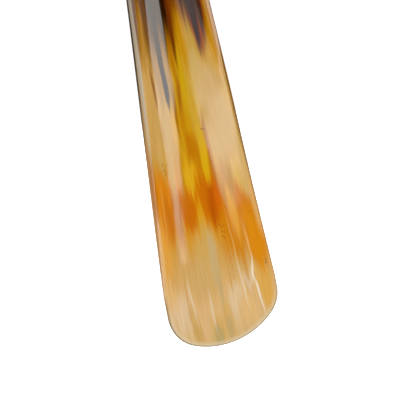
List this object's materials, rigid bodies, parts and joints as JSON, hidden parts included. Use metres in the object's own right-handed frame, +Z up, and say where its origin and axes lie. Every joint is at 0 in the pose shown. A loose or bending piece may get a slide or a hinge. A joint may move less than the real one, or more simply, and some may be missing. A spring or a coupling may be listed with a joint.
{
  "type": "long shoehorn",
  "caption": "Long shoehorn: a curved, polished horn blade joined by a brass ferrule to a turned wooden handle with a horn knob and an eyelet to hang it by.",
  "frame": {"origin": "middle of the hanging hole through the knob, on the handle's axis", "axes": "hanging upright: +Z up along the handle's axis, the blade's toe at the bottom; the dished front of the blade faces -Y and the hanging hole runs along Y; +X to the right seen from behind the blade"},
  "size_m": [0.05, 0.0266, 0.603],
  "materials": {
    "blade_horn": "polished natural horn, amber and cream with dark brown streaks",
    "knob_horn": "polished natural horn, darker than the blade",
    "handle_wood": "turned hardwood, oiled and rubbed to a satin sheen",
    "brass": "turned and polished, lightly worn",
    "fibre": "black vulcanised fibre",
    "stud_steel": "plain steel"
  },
  "bodies": {
    "root": {"horn_blade": "blade_horn", "neck_washer": "fibre", "ferrule": "brass", "ferrule_pins": "brass", "tie_stud": "stud_steel", "handle": "handle_wood", "butt_washer": "fibre", "butt_collar": "brass", "knob_stud": "stud_steel", "end_knob": "knob_horn", "eyelet_barrel": "brass", "eyelet_washer": "brass"}
  },
  "joints": []
}
